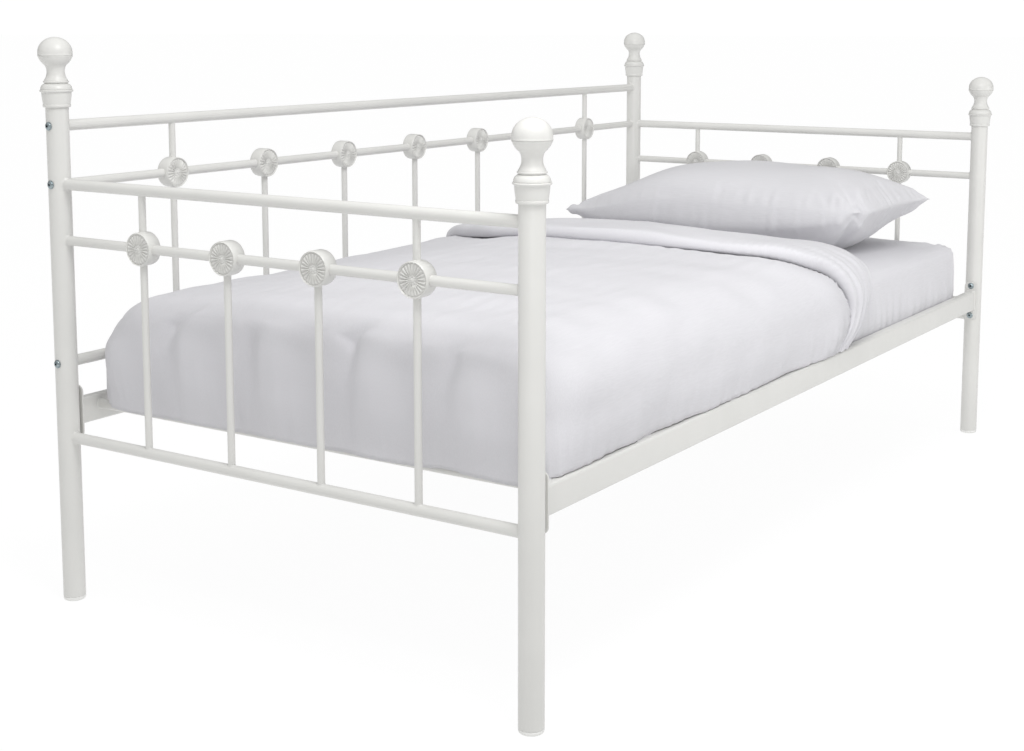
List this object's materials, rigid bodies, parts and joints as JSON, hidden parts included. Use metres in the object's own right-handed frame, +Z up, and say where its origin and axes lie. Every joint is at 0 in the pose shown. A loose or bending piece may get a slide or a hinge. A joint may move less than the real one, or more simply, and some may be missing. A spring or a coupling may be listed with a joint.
{
  "type": "metal daybed",
  "caption": "Single metal daybed with a taller rosette back panel, ball finials, a tube deck, a mattress, a duvet with a turned-down band and one pillow.",
  "frame": {"origin": "on the floor under the middle of the bed", "axes": "+X towards the head end, where the pillow lies; +Y towards the taller back panel; +Z up"},
  "size_m": [2.0364, 1.0024, 0.971],
  "materials": {
    "powder_coat": "satin",
    "foot_plastic": "matte",
    "zinc": "satin",
    "sheet_cotton": "matte",
    "duvet_cotton": "matte",
    "pillow_cotton": "matte"
  },
  "bodies": {
    "frame": {"back_bolt_foot_bottom": "zinc", "back_bolt_foot_middle": "zinc", "back_bolt_foot_top": "zinc", "back_bolt_head_bottom": "zinc", "back_bolt_head_middle": "zinc", "back_bolt_head_top": "zinc", "back_bottom_rail": "powder_coat", "back_middle_rail": "powder_coat", "back_spindle_1": "powder_coat", "back_spindle_2": "powder_coat", "back_spindle_3": "powder_coat", "back_spindle_4": "powder_coat", "back_spindle_5": "powder_coat", "back_spindle_6": "powder_coat", "back_spindle_7": "powder_coat", "back_top_rail": "powder_coat", "end_plate_foot_back": "powder_coat", "end_plate_foot_front": "powder_coat", "end_plate_head_back": "powder_coat", "end_plate_head_front": "powder_coat", "finial_foot_back": "powder_coat", "finial_foot_front": "powder_coat", "finial_head_back": "powder_coat", "finial_head_front": "powder_coat", "foot_bottom_rail": "powder_coat", "foot_cap_foot_back": "foot_plastic", "foot_cap_foot_front": "foot_plastic", "foot_cap_head_back": "foot_plastic", "foot_cap_head_front": "foot_plastic", "foot_middle_rail": "powder_coat", "foot_spindle_1": "powder_coat", "foot_spindle_2": "powder_coat", "foot_spindle_3": "powder_coat", "foot_spindle_4": "powder_coat", "foot_top_rail": "powder_coat", "head_bottom_rail": "powder_coat", "head_middle_rail": "powder_coat", "head_spindle_1": "powder_coat", "head_spindle_2": "powder_coat", "head_spindle_3": "powder_coat", "head_spindle_4": "powder_coat", "head_top_rail": "powder_coat", "mattress_deck": "powder_coat", "post_foot_back": "powder_coat", "post_foot_front": "powder_coat", "post_head_back": "powder_coat", "post_head_front": "powder_coat", "rail_bolt_foot_back_lower": "zinc", "rail_bolt_foot_back_upper": "zinc", "rail_bolt_foot_front_lower": "zinc", "rail_bolt_foot_front_upper": "zinc", "rail_bolt_head_back_lower": "zinc", "rail_bolt_head_back_upper": "zinc", "rail_bolt_head_front_lower": "zinc", "rail_bolt_head_front_upper": "zinc", "side_rail_back": "powder_coat", "side_rail_front": "powder_coat"},
    "bedding": {"mattress": "sheet_cotton", "duvet": "duvet_cotton"},
    "pillow": {"pillow": "pillow_cotton"}
  },
  "joints": [
    {"name": "mattress_lift", "type": "slide", "parent": "frame", "child": "bedding", "axis": [0, 0, 1], "range_m": [0, 0.66]},
    {"name": "pillow_lift", "type": "slide", "parent": "bedding", "child": "pillow", "axis": [0, 0, 1], "range_m": [0, 0.35]}
  ]
}
